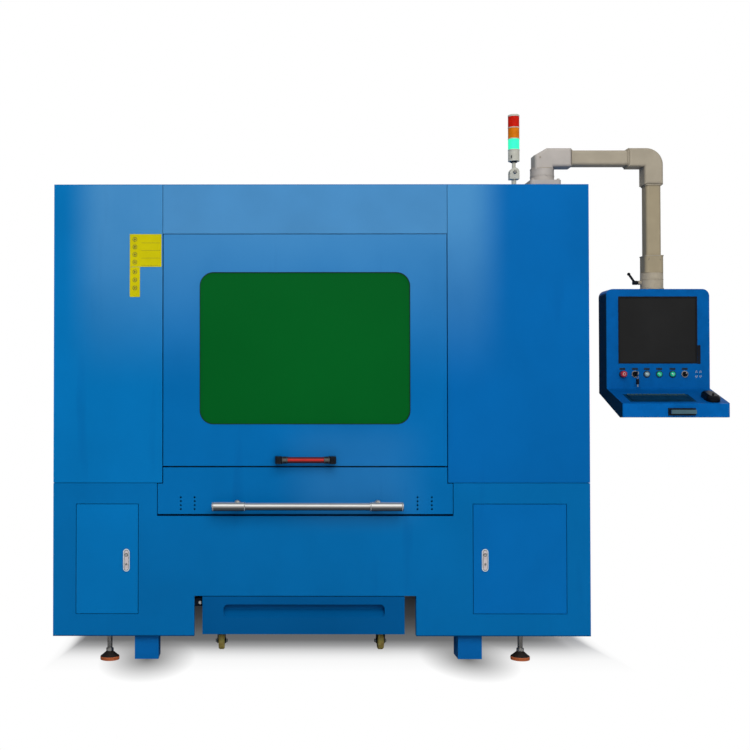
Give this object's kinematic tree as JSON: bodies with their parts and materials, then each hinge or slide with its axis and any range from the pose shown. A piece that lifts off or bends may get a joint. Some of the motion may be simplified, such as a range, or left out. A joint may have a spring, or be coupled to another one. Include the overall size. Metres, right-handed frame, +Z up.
{
  "type": "laser cutting machine",
  "caption": "Enclosed laser cutting machine with lift-up window door, pull-out slat table, scrap drawer on casters, gantry and swing-arm console.",
  "frame": {"origin": "on the floor under the middle of the whole machine, its hanging console and rear spigot included", "axes": "+Z up, -Y towards the operator at the front, +X to the operator's right where the console hangs"},
  "size_m": [2.7756, 1.884, 2.324],
  "materials": {
    "blue_paint": "semi-gloss powder coat",
    "frame_paint": "powder coat",
    "arm_paint": "satin powder coat",
    "black_plastic": "moulded",
    "red_plastic": "gloss",
    "amber_lens": "translucent",
    "green_lens": "translucent, lit",
    "red_lens": "translucent",
    "beige_plastic": "moulded",
    "filter_glass": "tinted filter glass",
    "screen_glass": "dark screen",
    "stainless": "brushed",
    "zinc": "zinc plated",
    "cast_lock": "satin chrome",
    "caster_tread": "ochre tread",
    "mild_steel": "bare mill steel",
    "machined": "machined",
    "copper": "turned",
    "green_button": "lit button",
    "clear_button": "clear button"
  },
  "bodies": {
    "cabinet": {"base_frame": "frame_paint", "levelling_feet": "zinc", "base_front_panel": "blue_paint", "left_side_panel": "blue_paint", "right_side_panel": "blue_paint", "rear_panel": "blue_paint", "roof_panel": "blue_paint", "left_column_panel": "blue_paint", "right_column_panel": "blue_paint", "header_panel": "blue_paint", "arm_base": "arm_paint", "tower_bracket": "beige_plastic"},
    "lift_door": {"front_door": "blue_paint", "door_window": "filter_glass", "door_handle_grip": "red_plastic", "door_handle_brackets": "black_plastic"},
    "work_table": {"table_front_panel": "blue_paint", "work_table_frame": "frame_paint", "table_slats": "mild_steel", "table_handle_bar": "stainless"},
    "left_service": {"left_service_door": "blue_paint", "left_lock_dish": "cast_lock"},
    "right_service": {"right_service_door": "blue_paint", "right_lock_dish": "cast_lock"},
    "left_lever": {"left_lock_lever": "cast_lock"},
    "right_lever": {"right_lock_lever": "cast_lock"},
    "drawer": {"scrap_drawer": "blue_paint"},
    "gantry": {"gantry_beam": "machined"},
    "carriage": {"head_carriage": "machined"},
    "head": {"cutting_head": "machined", "nozzle": "copper"},
    "arm": {"arm_lower_elbow": "arm_paint", "arm_cross_tube": "arm_paint", "arm_upper_elbow": "arm_paint", "arm_drop_tube": "arm_paint"},
    "arm_lever": {"clamp_lever": "black_plastic"},
    "console": {"console_housing": "blue_paint", "console_screen": "screen_glass", "keyboard": "black_plastic", "mouse": "black_plastic", "console_pull": "black_plastic"},
    "stop": {"stop_button": "red_plastic"},
    "key": {"key_switch": "zinc"},
    "clear": {"clear_button": "clear_button"},
    "start": {"start_button": "green_button"},
    "feed": {"feed_button": "green_button"},
    "mode": {"mode_selector": "black_plastic"},
    "tower": {"tower_stem": "beige_plastic", "tower_lens_green": "green_lens", "tower_lens_amber": "amber_lens", "tower_lens_red": "red_lens", "tower_cap": "beige_plastic"},
    "front_left_swivel": {"front_left_caster_fork": "zinc"},
    "front_left_wheel": {"front_left_caster_wheel": "caster_tread"},
    "front_right_swivel": {"front_right_caster_fork": "zinc"},
    "front_right_wheel": {"front_right_caster_wheel": "caster_tread"},
    "rear_left_swivel": {"rear_left_caster_fork": "zinc"},
    "rear_left_wheel": {"rear_left_caster_wheel": "caster_tread"},
    "rear_right_swivel": {"rear_right_caster_fork": "zinc"},
    "rear_right_wheel": {"rear_right_caster_wheel": "caster_tread"}
  },
  "joints": [
    {"name": "door_lift", "type": "hinge", "parent": "cabinet", "child": "lift_door", "pos_m": [-0.33125, -0.754, 1.755], "axis": [-1, 0, 0], "range_deg": [0, 85]},
    {"name": "table_slide", "type": "slide", "parent": "cabinet", "child": "work_table", "axis": [0, -1, 0], "range_m": [0, 0.9]},
    {"name": "left_service_swing", "type": "hinge", "parent": "cabinet", "child": "left_service", "pos_m": [-1.28125, -0.763, 0.427], "axis": [0, 0, -1], "range_deg": [0, 110]},
    {"name": "right_service_swing", "type": "hinge", "parent": "cabinet", "child": "right_service", "pos_m": [0.75275, -0.763, 0.427], "axis": [0, 0, 1], "range_deg": [0, 110]},
    {"name": "left_lock_swing", "type": "hinge", "parent": "left_service", "child": "left_lever", "pos_m": [-1.08075, -0.7665, 0.4615], "axis": [-1, 0, 0], "range_deg": [0, 40]},
    {"name": "right_lock_swing", "type": "hinge", "parent": "right_service", "child": "right_lever", "pos_m": [0.42125, -0.7665, 0.4615], "axis": [-1, 0, 0], "range_deg": [0, 40]},
    {"name": "drawer_roll", "type": "slide", "parent": "cabinet", "child": "drawer", "axis": [0, -1, 0], "range_m": [0, 1]},
    {"name": "front_left_caster_turn", "type": "hinge", "parent": "drawer", "child": "front_left_swivel", "pos_m": [-0.68775, -0.548, 0.112], "axis": [0, 0, 1], "continuous": true},
    {"name": "front_left_wheel_spin", "type": "hinge", "parent": "front_left_swivel", "child": "front_left_wheel", "pos_m": [-0.68775, -0.524, 0.0375], "axis": [1, 0, 0], "continuous": true},
    {"name": "front_right_caster_turn", "type": "hinge", "parent": "drawer", "child": "front_right_swivel", "pos_m": [0.01025, -0.548, 0.112], "axis": [0, 0, 1], "continuous": true},
    {"name": "front_right_wheel_spin", "type": "hinge", "parent": "front_right_swivel", "child": "front_right_wheel", "pos_m": [0.01025, -0.524, 0.0375], "axis": [1, 0, 0], "continuous": true},
    {"name": "rear_left_caster_turn", "type": "hinge", "parent": "drawer", "child": "rear_left_swivel", "pos_m": [-0.68775, 0.112, 0.112], "axis": [0, 0, 1], "continuous": true},
    {"name": "rear_left_wheel_spin", "type": "hinge", "parent": "rear_left_swivel", "child": "rear_left_wheel", "pos_m": [-0.68775, 0.136, 0.0375], "axis": [1, 0, 0], "continuous": true},
    {"name": "rear_right_caster_turn", "type": "hinge", "parent": "drawer", "child": "rear_right_swivel", "pos_m": [0.01025, 0.112, 0.112], "axis": [0, 0, 1], "continuous": true},
    {"name": "rear_right_wheel_spin", "type": "hinge", "parent": "rear_right_swivel", "child": "rear_right_wheel", "pos_m": [0.01025, 0.136, 0.0375], "axis": [1, 0, 0], "continuous": true},
    {"name": "gantry_drive", "type": "slide", "parent": "cabinet", "child": "gantry", "axis": [0, -1, 0], "range_m": [0, 1.03]},
    {"name": "carriage_drive", "type": "slide", "parent": "gantry", "child": "carriage", "axis": [1, 0, 0], "range_m": [0, 0.9]},
    {"name": "head_drive", "type": "slide", "parent": "carriage", "child": "head", "axis": [0, 0, 1], "range_m": [0, 0.09]},
    {"name": "arm_swing", "type": "hinge", "parent": "cabinet", "child": "arm", "pos_m": [0.69325, -0.668, 2.078], "axis": [0, 0, 1], "range_deg": [-100, 25]},
    {"name": "arm_lever_turn", "type": "hinge", "parent": "console", "child": "arm_lever", "pos_m": [1.08925, -0.668, 1.6], "axis": [1, 0, 0], "range_deg": [-90, 90]},
    {"name": "console_swivel", "type": "hinge", "parent": "arm", "child": "console", "pos_m": [1.16125, -0.668, 1.64], "axis": [0, 0, 1], "range_deg": [-20, 150]},
    {"name": "stop_press", "type": "slide", "parent": "console", "child": "stop", "axis": [0, 1, 0], "range_m": [0, 0.005], "stiffness_N_per_m": 900},
    {"name": "clear_press", "type": "slide", "parent": "console", "child": "clear", "axis": [0, 1, 0], "range_m": [0, 0.003], "stiffness_N_per_m": 700},
    {"name": "start_press", "type": "slide", "parent": "console", "child": "start", "axis": [0, 1, 0], "range_m": [0, 0.003], "stiffness_N_per_m": 700},
    {"name": "feed_press", "type": "slide", "parent": "console", "child": "feed", "axis": [0, 1, 0], "range_m": [0, 0.003], "stiffness_N_per_m": 700},
    {"name": "key_turn", "type": "hinge", "parent": "console", "child": "key", "pos_m": [1.07025, -0.716, 1.207], "axis": [0, 1, 0], "range_deg": [0, 90]},
    {"name": "mode_turn", "type": "hinge", "parent": "console", "child": "mode", "pos_m": [1.28125, -0.716, 1.207], "axis": [0, 1, 0], "range_deg": [-45, 45]},
    {"name": "tower_fold", "type": "hinge", "parent": "cabinet", "child": "tower", "pos_m": [0.57225, -0.668, 2.074], "axis": [0, -1, 0], "range_deg": [0, 90]}
  ]
}
